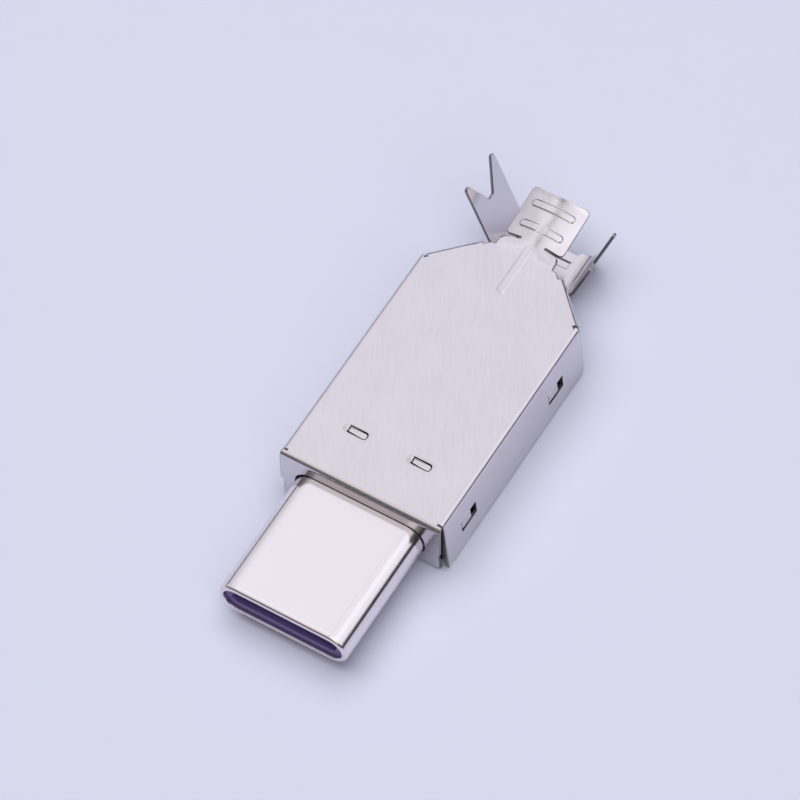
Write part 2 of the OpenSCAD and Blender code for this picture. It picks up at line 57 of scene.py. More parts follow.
# Both covers: body, sheet, bends, flanges and reliefs
HALF, BODY_L, HEIGHT, TAPER = 5.2, 15.2, 4.3, 2.6
SHEET, BEND, NEST, SPLAY, FLANGE_SPLAY = 0.2, 0.35, 0.25, radians(2.7), radians(3)
EDGE_R, HOLE_EDGE_R = 0.055, 0.025
WALL_FRONT, WALL_CORNER, INNER_WALL_H = 0.4, 0.4, 3.2
FLANGE_HALF, FLANGE_STEP, SEAM_Z, SEAM_GAP = 5.15, 0.15, 1.8, 0.03
CORNER, FLANGE_FOOT, TAPER_CORNER = 0.1, 0.12, 0.12
TAPER_RELIEF, REAR_RELIEF = 0.3, 0.1
OPENING_HALF, OPENING_RISE, OPENING_R = 4.165, 1.24, 1.1

# Snap windows of the upper cover and barbs of the lower one
WINDOW_STARTS, WINDOW_L, WINDOW_Z, WINDOW_H, WINDOW_R = (2.05, 11.5), 1.55, 1.45, 1.05, 0.08
BARB_L, BARB_DROP, BARB_STEP, BARB_FIT, BARB_R = 0.95, 0.3, 0.12, 0.03, 0.06
BARB_SLIT, BARB_SLIT_R, BARB_END_R = 0.03, 0.05, 0.01

# Pressing tabs of the top plate: slit, swell at the hinge, and draw of the plate round the slit
TAB_X, TAB_Y, TAB_L, TAB_W, TAB_SLIT, TAB_DROP, TAB_RAMP = 2.05, 3.25, 1.15, 0.38, 0.06, 0.08, 0.12
TAB_TIP_R, TAB_SLIT_R = 0.14, 0.2
TAB_SWELL, TAB_SWELL_R, TAB_SWELL_BACK, TAB_SWELL_WIDE = 0.075, 0.34, 0.06, 0.9
TAB_DRAW, TAB_DRAW_W = 0.018, 0.16

# Bead of the top plate, which fades out on the neck
BEAD_W, BEAD_H, BEAD_L, BEAD_NECK, BEAD_SIDE, BEAD_BLUNT = 0.6, 0.05, 2.8, 0.8, 0.17, 1.15
BEAD_FADE, BEAD_FADE_L = 0.6, 0.4

# Neck, with the fold at its front, and bridge between its slits
NECK_L, NECK_PITCH, NECK_W, NECK_CORNER, NECK_FOOT = 0.95, radians(7), 3.7, 0.4, 0.08
FOLD_L, BRIDGE_W, BRIDGE_R, SLIT_W = 0.3, 1.6, 0.04, 0.1

# Tongue: arch, ribs with a dip in the front one, flared rear edge and slight unevenness
TONGUE_L, TONGUE_W, TONGUE_R, TONGUE_CORNER = 3.3, 3.75, 4.8, 0.3
ARCH_START, ARCH_L = 0.4, 0.6
RIB_W, RIB_H, RIB_L, RIB_Y, RIB_PITCH, RIB_SIDE = 0.58, 0.06, 2.9, 0.9, 1.4, 0.15
RIB_GAP, RIB_GAP_W = 0.85, 0.2
REAR_FLARE, REAR_FLARE_L = 0.03, 0.35
TONGUE_WAVE, TONGUE_WAVE_START = 0.008, 0.5

# Tail floor and crimp ears
TAIL_W, TAIL_RISE, TAIL_R, FLOOR_L, FLOOR_CORNER, TAIL_LEAD = 2.5, 0.12, 1.3, 2.8, 0.08, 0.05
GROOVE_Y, GROOVE_H, GROOVE_W, GROOVE_SIDE = 1.88, 0.05, 0.7, 0.12
EAR_Y, EAR_L, EAR_LEAN, EAR_FRONT_R, EAR_REAR_R = 1.07, 3.05, radians(19.8), 0.1, 0.2
EAR_TALL, EAR_SHORT, NOTCH_DEPTH, NOTCH_W, NOTCH_R, PRONG_R = 6.35, 4.15, 2.1, 0.4, 0.12, 0.2

# Rounded edges of the pieces that keep their CAD meshes: width and parts
PIECE_EDGE, PIECE_EDGE_PARTS = 0.02, 2

# Places that follow from the sizes
REAR = BODY_L + TAPER
TONGUE_Y = REAR + NECK_L + SLIT_W
EAR_START = REAR + EAR_Y
ORIGIN_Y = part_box("plug_shell")[0].y + PLUG_L * MM

# Reach of the regions of a flat pattern beyond their own edges, into the reliefs between them
WALL_REACH, FRONT_REACH, NECK_REACH, EAR_REACH, TAIL_REACH = 0.03, 1, 0.4, 0.05, 0.2

# Fine meshing: zones round the reliefs, steps across and along them, and parts of curves
BEAD_ZONE, SIDE_ZONE, AROUND = 0.44, 0.5, 0.1
BRIDGE_FRONT, BRIDGE_REAR = 0.14, 0.02
TAB_ZONE_BACK, TAB_ZONE_AHEAD, TAB_ZONE_SIDE = 0.45, 0.4, 0.6
RAMP_INSET, GROOVE_INSET, GROOVE_ZONE = 0.05, 0.04, 0.45
BEAD_STEPS, TONGUE_STEPS, BRIDGE_STEPS, TAB_STEPS = (0.025, 0.03), (0.07, 0.03), (0.1, 0.04), (0.04, 0.04)
RAMP_STEPS, GROOVE_STEPS = (0.2, 0.08), (0.06, 0.03)
ARC_STEP, TAB_ARC_STEP = 0.03, 0.015
BEND_PARTS, EAR_PARTS, FOLD_PARTS, BEAD_PARTS, SIDE_PARTS, BARB_PARTS, OPENING_PARTS = 9, 16, 4, 22, 4, 4, 24
EDGE_PARTS, LIP_PARTS, LIP_EDGE_PARTS, TUBE_PARTS, ROUND_PARTS, FLAT_PARTS = 4, 12, 6, 11, 48, 13
TUBE_REAR, TUBE_FRONT = 0.3, 0.2

# Share of a side that a rounded corner may take up, as a rule and in the outline that has the ears
CORNER_SHARE, EAR_CORNER_SHARE = 0.49, 0.62

# Limits of the geometry code: snapping distance, shortest vector, flattest corner, closest points, least area
# and least curvature
SNAP, TINY, STRAIGHT, SAME_POINT, NO_AREA, NO_CURVE = 1e-6, 1e-15, 1e-3, 1e-4, 1e-9, 1e-9
# Small moves on a pattern, by which the directions of its surface and of its edges are measured
NUDGE, EDGE_NUDGE = 1e-5, 1e-3

# Places of the finishes in a sheet's list of materials: its own finish, and the edges' finish with painted
# shade
OWN_FINISH, EDGE_FINISH_AND_SHADE = 0, 1


# Flat patterns

def fillet_loop(corners, step=ARC_STEP, limit=CORNER_SHARE, fewest=3):
    """Closed outline through (x, y, radius) corners, with each corner rounded by its radius."""
    points = []
    count = len(corners)
    for i in range(count):
        x, y, radius = corners[i]
        here = np.array([x, y], float)
        back = np.array(corners[i - 1][:2], float) - here
        ahead = np.array(corners[(i + 1) % count][:2], float) - here
        if radius <= 0:
            points.append(here)
            continue
        back_l, ahead_l = np.linalg.norm(back), np.linalg.norm(ahead)
        back, ahead = back / back_l, ahead / ahead_l
        half = acos(max(-1.0, min(1.0, float(back @ ahead)))) / 2
        if half > QUARTER - STRAIGHT:
            points.append(here)
            continue
        reach = min(radius / tan(half), limit * back_l, limit * ahead_l)
        radius = reach * tan(half)
        middle = back + ahead
        centre = here + middle / np.linalg.norm(middle) * radius / sin(half)
        first, last = here + back * reach - centre, here + ahead * reach - centre
        sign = 1 if first[0] * last[1] > first[1] * last[0] else -1
        turn = pi - 2 * half
        parts = max(fewest, int(np.ceil(turn * radius / step)))
        angle0 = atan2(first[1], first[0])
        for k in range(parts + 1):
            angle = angle0 + sign * turn * k / parts
            points.append(centre + radius * np.array([cos(angle), sin(angle)]))
    clean = [points[0]]
    for point in points[1:]:
        if np.linalg.norm(point - clean[-1]) > SAME_POINT:
            clean.append(point)
    return np.array(clean)


def signed_area(loop):
    """Area of a closed loop, positive where it runs anticlockwise."""
    x, y = loop[:, 0], loop[:, 1]
    return 0.5 * float(np.sum(x * np.roll(y, -1) - np.roll(x, -1) * y))


def unit(rows):
    """Rows of vectors, each brought to length 1."""
    return rows / np.maximum(np.linalg.norm(rows, axis=1), TINY)[:, None]


def miter(loop, longest=2):
    """Outward offset vectors of a closed loop that has the material on its left."""
    ahead = unit(np.roll(loop, -1, 0) - loop)
    out_ahead = np.stack([ahead[:, 1], -ahead[:, 0]], 1)
    both = unit(out_ahead + np.roll(out_ahead, 1, 0))
    scale = 1 / np.maximum(np.sum(both * out_ahead, 1), 1 / longest)
    return both * scale[:, None]


def inside(points, loops):
    """Even-odd test of points against all loops."""
    hit = np.zeros(len(points), bool)
    px, py = points[:, 0], points[:, 1]
    for loop in loops:
        ax, ay = loop[:, 0], loop[:, 1]
        bx, by = np.roll(ax, -1), np.roll(ay, -1)
        for x0, y0, x1, y1 in zip(ax, ay, bx, by):
            if y0 == y1:
                continue
            crosses = (y0 > py) != (y1 > py)
            hit ^= crosses & (px < (x1 - x0) * (py - y0) / (y1 - y0) + x0)
    return hit


def triangulate(outline, holes, lines, points):
    """Triangles of a flat pattern, with edges along the given lines."""
    verts, edges = [], []
    for loop in [outline] + holes:
        base = len(verts)
        verts.extend(Vector(p) for p in loop)
        edges.extend((base + k, base + (k + 1) % len(loop)) for k in range(len(loop)))
    for a, b in lines:
        edges.append((len(verts), len(verts) + 1))
        verts.extend((Vector(a), Vector(b)))
    verts.extend(Vector(p) for p in points)
    out, _, faces, _, _, _ = delaunay_2d_cdt(verts, edges, [], 0, SNAP)
    flat = np.array([tuple(v) for v in out])
    tris = np.array([f[:3] for f in faces])
    tris = tris[inside(flat[tris].mean(1), [outline] + holes)]
    a, b, c = (flat[tris[:, k]] for k in range(3))
    area = (b[:, 0] - a[:, 0]) * (c[:, 1] - a[:, 1]) - (b[:, 1] - a[:, 1]) * (c[:, 0] - a[:, 0])
    tris[area < 0] = tris[area < 0][:, ::-1]
    tris = tris[np.abs(area) > NO_AREA]
    used = np.unique(tris)
    remap = np.full(len(flat), -1)
    remap[used] = np.arange(len(used))
    return flat[used], remap[tris]


def boundary_loops(tris):
    """Directed boundary loops of a triangle list, with the material on the left."""
    directed = {}
    for tri in tris:
        for k in range(3):
            directed[(int(tri[k]), int(tri[(k + 1) % 3]))] = True
    nexts = {a: b for (a, b) in directed if (b, a) not in directed}
    loops = []
    while nexts:
        start = next(iter(nexts))
        loop = [start]
        here = nexts.pop(start)
        while here != start:
            loop.append(here)
            here = nexts.pop(here)
        loops.append(loop)
    return loops


def new_mesh_object(name, verts, faces, normals, finishes=None):
    """Mesh object in the part's frame, from points in millimetres, shaded smoothly by the given normals."""
    mesh = bpy.data.meshes.new(name)
    placed = np.asarray(verts) * MM
    placed[:, 1] += ORIGIN_Y
    mesh.from_pydata(placed.tolist(), [], [list(map(int, f)) for f in faces])
    mesh.polygons.foreach_set("use_smooth", np.ones(len(mesh.polygons), bool))
    if finishes is not None:
        mesh.polygons.foreach_set("material_index", np.array(finishes, np.int32))
    mesh.update()
    mesh.normals_split_custom_set_from_vertices(np.asarray(normals).tolist())
    obj = bpy.data.objects.new(name, mesh)
    bpy.context.scene.collection.objects.link(obj)
    return obj


def ring_faces(upper, lower, outward):
    """Four-sided faces between two closed rows of vertices."""
    size = len(upper)
    quads = []
    for k in range(size):
        j = (k + 1) % size
        quad = (upper[k], lower[k], lower[j], upper[j])
        quads.append(quad if outward > 0 else quad[::-1])
    return quads


def sheet_object(name, outline, holes, lines, points, surface, outward, roll):
    """Folded sheet: a flat pattern carried onto surface(u, v), with thickness behind it and rounded edges.

    The outline's rolled edge takes the finish roll; given the edges' finish, it is darkened there as a
    painted dark outline. The cut part of all edges takes the edges' finish, darkened as painted shade.
    """
    def placed(flat, depth):
        u, v = flat[:, 0], flat[:, 1]
        du = surface(u + NUDGE, v) - surface(u - NUDGE, v)
        dv = surface(u, v + NUDGE) - surface(u, v - NUDGE)
        normal = unit(np.cross(du, dv) * outward)
        return surface(u, v) - normal * depth, normal

    loops_in = []
    for loop, is_hole in [(outline, False)] + [(h, True) for h in holes]:
        if (signed_area(loop) > 0) == is_hole:
            loop = loop[::-1]
        loops_in.append(loop - miter(loop) * (HOLE_EDGE_R if is_hole else EDGE_R))
    flat, tris = triangulate(loops_in[0], loops_in[1:], lines, points)
    front, normal = placed(flat, 0)
    back, _ = placed(flat, SHEET)
    count = len(flat)
    verts = [front, back]
    normals = [normal, -normal]
    if outward > 0:
        faces = tris.tolist() + (tris[:, ::-1] + count).tolist()
    else:
        faces = tris[:, ::-1].tolist() + (tris + count).tolist()
    finishes = [OWN_FINISH] * len(faces)
    base = 2 * count
    slant = 1 / ROOT2
    for loop in boundary_loops(tris):
        loop = np.array(loop)
        rim = flat[loop]
        edge, first = (EDGE_R, roll) if signed_area(rim) > 0 else (HOLE_EDGE_R, OWN_FINISH)
        # rows round the edge: offset, depth and direction of the normal, outwards and up
        rings = [(edge * slant, edge * (1 - slant), slant, slant), (edge, edge, 1, 0),
                 (edge, SHEET - edge, 1, 0), (edge * slant, SHEET - edge * (1 - slant), slant, -slant)]
        out = miter(rim)
        on_rim, rim_normal = placed(rim, 0)
        beyond, _ = placed(rim + out * EDGE_NUDGE, 0)
        side = unit(beyond - on_rim)
        previous = loop
        size = len(loop)
        for row, (offset, depth, outwards, up) in enumerate(rings):
            place, _ = placed(rim + out * offset, depth)
            verts.append(place)
            normals.append(side * outwards + rim_normal * up)
            current = base + np.arange(size)
            base += size
            faces.extend(ring_faces(previous, current, outward))
            # the cut rows take the edges' finish, darkened as painted shade along the edge
            finishes.extend([first if row == 0 else EDGE_FINISH_AND_SHADE] * size)
            previous = current
        faces.extend(ring_faces(previous, loop + count, outward))
        finishes.extend([OWN_FINISH] * size)
    return new_mesh_object(name, np.concatenate(verts), faces, np.concatenate(normals), finishes)


def smooth(t):
    """Soft step from 0 to 1."""
    t = np.clip(t, 0, 1)
    return t * t * (3 - 2 * t)


def dome(distance, reach, height):
    """Rounded emboss profile with a soft foot."""
    t = np.clip(distance / reach, 0, 1)
    return height * (1 - t * t) ** 2


def plateau(distance, reach, side, height):
    """Flat-topped emboss profile with soft sides."""
    return height * smooth((reach - distance) / side)


def bend(s, radius, angle):
    """Place along and below a bend that starts flat at s = 0, for distances s beyond its start."""
    turned = np.clip(s / radius, 0, angle)
    rest = np.maximum(s - radius * angle, 0)
    along = np.where(s > 0, radius * np.sin(turned) + rest * cos(angle), s)
    below = np.where(s > 0, radius * (1 - np.cos(turned)) + rest * sin(angle), 0)
    return along, below


def mirrored(right):
    """Whole outline from its right half, which runs from the front middle to the rear middle."""
    left = [(-x, y, r) for x, y, r in reversed(right)]
    return right + left


def bend_lines(first, second, direction, radius, angle, parts=BEND_PARTS):
    """Lines along a bend: from first to second, repeated along direction."""
    first, second, direction = (np.array(p, float) for p in (first, second, direction))
    steps = [direction * radius * angle * k / parts for k in range(parts + 1)]
    return [(first + step, second + step) for step in steps]


def both_sides(lines):
    """Lines and their mirror images."""
    flip = np.array([-1, 1])
    lines = [(np.array(a), np.array(b)) for a, b in lines]
    return lines + [(a * flip, b * flip) for a, b in lines]


def broken(us, v):
    """Line across the pattern at v, with a vertex at each of the given places."""
    return [(np.array([a, v]), np.array([b, v])) for a, b in zip(us[:-1], us[1:])]


def grid(u_range, v_range, steps):
    """Points in rows over part of the pattern, about the given steps apart."""
    us, vs = (np.linspace(low, high, max(2, int(round((high - low) / step)) + 1))
              for (low, high), step in zip((u_range, v_range), steps))
    return [(u, v) for v in vs for u in us]


def opening_corner(edge, end):
    """Rounded corner of the plug opening in a front flange, from its edge to the flange's end."""
    last = acos(max((end - edge + OPENING_R) / OPENING_R, 0))
    corner = [(OPENING_HALF - OPENING_R + OPENING_R * sin(t), edge - OPENING_R + OPENING_R * cos(t), 0)
              for t in np.linspace(0, last, OPENING_PARTS + 1)]
    if end < edge - OPENING_R:
        corner.append((OPENING_HALF, end, CORNER))
    return corner


def taper_point(inset, t, d):
    """Flat-pattern point of the right taper flange: t along the taper edge, d beyond its bend line."""
    start = np.array([HALF, BODY_L]) - np.array([1, 1]) * inset / ROOT2
    return start + np.array([-1, 1]) * t / ROOT2 + np.array([1, 1]) * d / ROOT2


def taper_corners(inset, start, end, reach, radius):
    """Corners of the right taper flange in the flat pattern."""
    corners = ((start, 0, 0), (start, reach, radius), (end, reach, radius), (end, 0, 0))
    return [(*taper_point(inset, t, d), r) for t, d, r in corners]


def taper_lines(inset, start, end):
    """Lines along the bend of the right taper flange."""
    first, second = taper_point(inset, start, 0), taper_point(inset, end, 0)
    return bend_lines(first, second, np.array([1, 1]) / ROOT2, BEND, QUARTER)


def place_taper(a, v, line):
    """Place in the plan, and below the plate, of points beyond the bend line of a taper flange."""
    d = (a + v - line) / ROOT2
    along, below = bend(d, BEND, QUARTER)
    shift = (along - d) / ROOT2
    return a + shift, v + shift, below


FRONT_TURN = QUARTER - FLANGE_SPLAY


def front_edge(depth):
    """Place in the pattern at which a front flange's outside reaches a depth beyond its plate."""
    straight = (depth - BEND * (1 - cos(FRONT_TURN))) / sin(FRONT_TURN)
    return BEND - BEND * FRONT_TURN - straight


# Upper cover

FLAT = HALF - BEND
WALL_TURN = QUARTER - SPLAY
TAPER_LINE = FLAT + BODY_L + BEND * (1 - ROOT2)
TAB_ENDS = [(x - TAB_L / 2, x + TAB_L / 2) for x in (-TAB_X, TAB_X)]


def tab_lift(u, v):
    """Height of the pressing tabs, the swell at their hinges and the draw of the plate round their slits."""
    lift = np.zeros(u.shape)
    for hinge, tip in TAB_ENDS:
        off, reach = np.abs(v - TAB_Y), u - hinge
        ramp = smooth(reach / TAB_RAMP)
        on_tab = (off < (TAB_W + TAB_SLIT) / 2) & (u > hinge) & (u < tip + TAB_SLIT / 2)
        from_swell = np.hypot(reach + TAB_SWELL_BACK, off * TAB_SWELL_WIDE)
        swell = dome(from_swell, TAB_SWELL_R, TAB_SWELL) * (1 - ramp)
        away = np.hypot(np.maximum(u - tip - TAB_SLIT, 0), np.maximum(off - TAB_W / 2 - TAB_SLIT, 0))
        draw = TAB_DRAW * (1 - smooth(away / TAB_DRAW_W)) * ramp
        lift += swell - np.where(on_tab, TAB_DROP * ramp, draw)
    return lift


def ripple(u, v):
    """Unevenness of the pressed tongue: two crossed waves."""
    long_wave = np.sin(2.1 * u + 1.3) * np.sin(1.7 * (v - TONGUE_Y) + 0.6)
    short_wave = np.sin(4.3 * u - 0.5) * np.sin(3.1 * v)
    return long_wave + 0.5 * short_wave


def tongue_rise(u, v):
    """Height of the ribs, the flared rear edge, the unevenness and the bead, above the plain sheet."""
    a = np.abs(u)
    rise = np.zeros(u.shape)
    for rib, gap in ((TONGUE_Y + RIB_Y, RIB_GAP), (TONGUE_Y + RIB_Y + RIB_PITCH, 0)):
        past = np.maximum(a - (RIB_L - RIB_W) / 2, 0)
        height = RIB_H * (1 - gap * np.exp(-(u / RIB_GAP_W) ** 2))
        rise = np.maximum(rise, plateau(np.hypot(past, v - rib), RIB_W / 2, RIB_SIDE, height))
    rise += REAR_FLARE * smooth((v - TONGUE_Y - TONGUE_L + REAR_FLARE_L) / REAR_FLARE_L)
    rise += TONGUE_WAVE * ripple(u, v) * smooth((v - TONGUE_Y) / TONGUE_WAVE_START)
    end = BEAD_W / 2 / BEAD_BLUNT
    past = np.maximum(np.maximum(REAR - BEAD_L + end - v, v - (REAR + BEAD_NECK - end)), 0)
    height = BEAD_H * (1 - BEAD_FADE * smooth((v - REAR) / BEAD_FADE_L))
    return rise + plateau(np.hypot(a, past * BEAD_BLUNT), BEAD_W / 2, BEAD_SIDE, height)


def upper_surface(u, v):
    """Outside of the upper cover at points of its flat pattern."""
    a, side = np.abs(u), np.where(u < 0, -1.0, 1.0)
    x, y, z = u, v, np.full(u.shape, HEIGHT)
    wall = (a > FLAT) & (v > (BEND + WALL_FRONT) / 2) & (v < BODY_L + WALL_REACH)
    front = ~wall & ((v < BEND) | ((a > FLAT) & (v < FRONT_REACH)))
    neck = (v > REAR - FOLD_L) & (a < (NECK_W + NECK_REACH) / 2)
    taper = ~wall & ~front & ~neck & (a + v > TAPER_LINE)

    along, below = bend(a - FLAT, BEND, WALL_TURN)
    x = np.where(wall, side * (FLAT + along), x)
    z = np.where(wall, HEIGHT - below, z)

    along, below = bend(BEND - v, BEND, FRONT_TURN)
    y = np.where(front, BEND - along, y)
    z = np.where(front, HEIGHT - below, z)

    taper_a, taper_v, below = place_taper(a, v, TAPER_LINE)
    x = np.where(taper, side * taper_a, x)
    y = np.where(taper, taper_v, y)
    z = np.where(taper, HEIGHT - below, z)

    z = z + tab_lift(u, v)

    # neck and tongue: pitched up at the rear edge, and arched across
    fold_r = FOLD_L / NECK_PITCH
    s = np.maximum(v - (REAR - FOLD_L / 2), 0)
    theta = np.clip(s / fold_r, 0, NECK_PITCH)
    rest = np.maximum(s - FOLD_L, 0)
    mid_y = REAR - FOLD_L / 2 + fold_r * np.sin(theta) + rest * cos(NECK_PITCH)
    mid_z = HEIGHT + fold_r * (1 - np.cos(theta)) + rest * sin(NECK_PITCH)
    curve = smooth((v - REAR - ARCH_START) / ARCH_L) / TONGUE_R + NO_CURVE
    lean = curve * u
    across, drop = np.sin(lean) / curve, (1 - np.cos(lean)) / curve
    rise = tongue_rise(u, v)
    lift = rise - drop
    behind = (v > REAR - FOLD_L / 2) & neck
    flat_plate = ~wall & ~front & ~taper
    x = np.where(behind, across + rise * np.sin(lean), x)
    y = np.where(behind, mid_y - lift * np.sin(theta), y)
    z = np.where(behind, mid_z + lift * np.cos(theta), np.where(flat_plate, z + rise, z))
    return np.stack([x, y, z], -1)


def upper_wall_u(z):
    """Place in the upper cover's pattern at which the outside of its wall has a height."""
    return FLAT + BEND * WALL_TURN + (HEIGHT - BEND + BEND * sin(SPLAY) - z) / cos(SPLAY)


def window_hole(start, side):
    """Snap window in one wall."""
    u0, u1 = side * upper_wall_u(WINDOW_Z), side * upper_wall_u(WINDOW_Z + WINDOW_H)
    end = start + WINDOW_L
    return fillet_loop([(u, v, WINDOW_R) for u, v in ((u0, start), (u1, start), (u1, end), (u0, end))])


def tab_hole(hinge, tip):
    """Slit round the tip of a pressing tab."""
    inner, outer = TAB_W / 2, TAB_W / 2 + TAB_SLIT
    beyond, end_r = tip + TAB_SLIT, TAB_SLIT / 2
    return fillet_loop([
        (hinge, TAB_Y - outer, end_r), (beyond, TAB_Y - outer, TAB_SLIT_R),
        (beyond, TAB_Y + outer, TAB_SLIT_R), (hinge, TAB_Y + outer, end_r),
        (hinge, TAB_Y + inner, end_r), (tip, TAB_Y + inner, TAB_TIP_R),
        (tip, TAB_Y - inner, TAB_TIP_R), (hinge, TAB_Y - inner, end_r)], step=TAB_ARC_STEP)


def upper_pattern():
    """Outline, holes, bend lines and mesh points of the upper cover's flat pattern."""
    wall_end = FLAT + BEND * WALL_TURN + (HEIGHT - BEND + (BEND - SHEET) * sin(SPLAY)) / cos(SPLAY)
    front_end = front_edge(HEIGHT - SEAM_Z)
    opening = front_edge(HEIGHT - PLUG_Z - OPENING_RISE)
    taper_end = BEND * QUARTER + HEIGHT - BEND - SEAM_Z
    strip = (TAPER_RELIEF, TAPER * ROOT2 - REAR_RELIEF)
    neck, tongue = NECK_W / 2, TONGUE_R * np.arcsin(TONGUE_W / 2 / TONGUE_R)
    neck_end, tongue_end = REAR + NECK_L, TONGUE_Y + TONGUE_L
    right = opening_corner(opening, front_end)
    right += [(FLANGE_HALF, front_end, CORNER), (FLANGE_HALF, BEND, FLANGE_FOOT), (FLAT, BEND, 0),
              (FLAT, WALL_FRONT, 0), (wall_end, WALL_FRONT, CORNER), (wall_end, BODY_L, WALL_CORNER),
              (FLAT, BODY_L, 0), (FLAT, TAPER_LINE - FLAT, 0)]
    right += taper_corners(BEND, *strip, taper_end, TAPER_CORNER)
    right += [(TAPER_LINE - REAR, REAR, CORNER), (neck, REAR, NECK_FOOT), (neck, neck_end, NECK_CORNER),
              (BRIDGE_W / 2, neck_end, BRIDGE_R), (BRIDGE_W / 2, TONGUE_Y, BRIDGE_R),
              (tongue, TONGUE_Y, TONGUE_CORNER), (tongue, tongue_end, TONGUE_CORNER)]
    outline = fillet_loop(mirrored(right))

    holes = [window_hole(start, side) for start in WINDOW_STARTS for side in (-1, 1)]
    holes += [tab_hole(hinge, tip) for hinge, tip in TAB_ENDS]

    lines = bend_lines((FLAT, WALL_FRONT), (FLAT, BODY_L), (1, 0), BEND, WALL_TURN)
    lines += taper_lines(BEND, *strip)
    lines = both_sides(lines)
    lines += bend_lines((-FLANGE_HALF, BEND), (FLANGE_HALF, BEND), (0, -1), BEND, FRONT_TURN)
    bead_us = np.linspace(-BEAD_ZONE, BEAD_ZONE, BEAD_PARTS + 1)
    side_us = np.linspace(SIDE_ZONE, NECK_W / 2, SIDE_PARTS + 1)
    for v in np.linspace(REAR - FOLD_L / 2, REAR + FOLD_L / 2, FOLD_PARTS + 1):
        lines += broken(np.concatenate([-side_us[::-1], bead_us, side_us]), v)

    points = grid((-BEAD_ZONE, BEAD_ZONE), (REAR - BEAD_L - AROUND, REAR + BEAD_NECK + AROUND), BEAD_STEPS)
    points += grid((-tongue + AROUND, tongue - AROUND),
                   (TONGUE_Y + AROUND, tongue_end - AROUND), TONGUE_STEPS)
    points += grid((-BRIDGE_W / 2, BRIDGE_W / 2),
                   (TONGUE_Y - BRIDGE_FRONT, TONGUE_Y + BRIDGE_REAR), BRIDGE_STEPS)
    for hinge, tip in TAB_ENDS:
        points += grid((hinge - TAB_ZONE_BACK, tip + TAB_ZONE_AHEAD),
                       (TAB_Y - TAB_ZONE_SIDE, TAB_Y + TAB_ZONE_SIDE), TAB_STEPS)
    return outline, holes, lines, points


# Lower cover

INNER = HALF - NEST
LOW_FLAT = INNER - BEND
LOW_INSET = NEST + BEND
LOW_TAPER_LINE = LOW_FLAT + BODY_L + LOW_INSET * (1 - ROOT2)
LOW_FRONT, LOW_REAR = WALL_FRONT + NEST, BODY_L - NEST
TAIL_HALF = TAIL_W / 2
EAR_OUT = TAIL_R + SHEET
EAR_TURN = QUARTER - EAR_LEAN
EAR_RISE = TAIL_RISE + SHEET + TAIL_R - TAIL_R * sin(EAR_LEAN)
BARB_TOP = WINDOW_Z + WINDOW_H - BARB_FIT
BARB_BOTTOM = WINDOW_Z + BARB_DROP
BARB_ENDS = [(start + BARB_FIT, start + BARB_FIT + BARB_L) for start in WINDOW_STARTS]


def lower_surface(u, v):
    """Outside of the lower cover at points of its flat pattern."""
    a, side = np.abs(u), np.where(u < 0, -1.0, 1.0)
    x, y, z = u, v, np.zeros(u.shape)
    wall = (a > LOW_FLAT) & (v > (BEND + LOW_FRONT) / 2) & (v < LOW_REAR + WALL_REACH)
    front = ~wall & ((v < BEND) | ((a > LOW_FLAT) & (v < FRONT_REACH)))
    ear = (v > EAR_START - EAR_REACH) & (a > TAIL_HALF)
    tail = (v > REAR - TAIL_REACH) & (a <= TAIL_HALF)
    taper = ~wall & ~front & ~ear & ~tail & (a + v > LOW_TAPER_LINE)

    along, below = bend(a - LOW_FLAT, BEND, QUARTER)
    wall_x = LOW_FLAT + along
    mid_slit = BARB_SLIT / 2
    barb_height = (below > BARB_BOTTOM - mid_slit) & (below < BARB_TOP)
    out = (NEST + (HEIGHT - BEND - below) * tan(SPLAY)) * smooth((BARB_TOP - below) / BARB_STEP)
    for start, end in BARB_ENDS:
        on_barb = barb_height & (v > start - mid_slit) & (v < end + mid_slit)
        wall_x = np.where(on_barb, wall_x + out, wall_x)
    x = np.where(wall, side * wall_x, x)
    z = np.where(wall, below, z)

    along, below = bend(BEND - v, BEND, FRONT_TURN)
    y = np.where(front, BEND - along, y)
    z = np.where(front, below, z)

    taper_a, taper_v, below = place_taper(a, v, LOW_TAPER_LINE)
    x = np.where(taper, side * taper_a, x)
    y = np.where(taper, taper_v, y)
    z = np.where(taper, below, z)

    ramp = TAIL_RISE * smooth((v - REAR + TAIL_LEAD) / (EAR_START - NEST - REAR))
    groove = plateau(np.abs(v - EAR_START - GROOVE_Y), GROOVE_W / 2, GROOVE_SIDE, GROOVE_H)
    groove = groove * smooth((TAIL_HALF - a) / GROOVE_SIDE)
    z = np.where(tail, ramp - groove, z)
    along, below = bend(a - TAIL_HALF, EAR_OUT, EAR_TURN)
    x = np.where(ear, side * (TAIL_HALF + along), x)
    z = np.where(ear, TAIL_RISE + below, z)
    return np.stack([x, y, z], -1)


def tangent_point(point, centre, side):
    """Point at which a line from the given point touches a prong's rounding."""
    away = np.array(point) - np.array(centre)
    angle = atan2(away[1], away[0]) + side * acos(PRONG_R / hypot(*away))
    return np.array(centre) + PRONG_R * np.array([cos(angle), sin(angle)])


def ear_corners(top):
    """Corners of one ear's fork in the pattern: distance beyond the tail floor's side, length, radius."""
    foot = EAR_OUT * EAR_TURN
    height = (top - EAR_RISE) / cos(EAR_LEAN)
    deep, tip = foot + height - NOTCH_DEPTH, foot + height
    notch_0, notch_1 = (EAR_L - NOTCH_W) / 2, (EAR_L + NOTCH_W) / 2
    touch = tangent_point((notch_0, height - NOTCH_DEPTH), (PRONG_R, height - PRONG_R), 1)
    slope = (touch[0] - notch_0) / (touch[1] - height + NOTCH_DEPTH)
    crest = notch_0 + slope * NOTCH_DEPTH
    return [(tip, 0, PRONG_R), (tip, crest, PRONG_R), (deep, notch_0, NOTCH_R),
            (deep, notch_1, NOTCH_R), (tip, EAR_L - crest, PRONG_R), (tip, EAR_L, PRONG_R)]


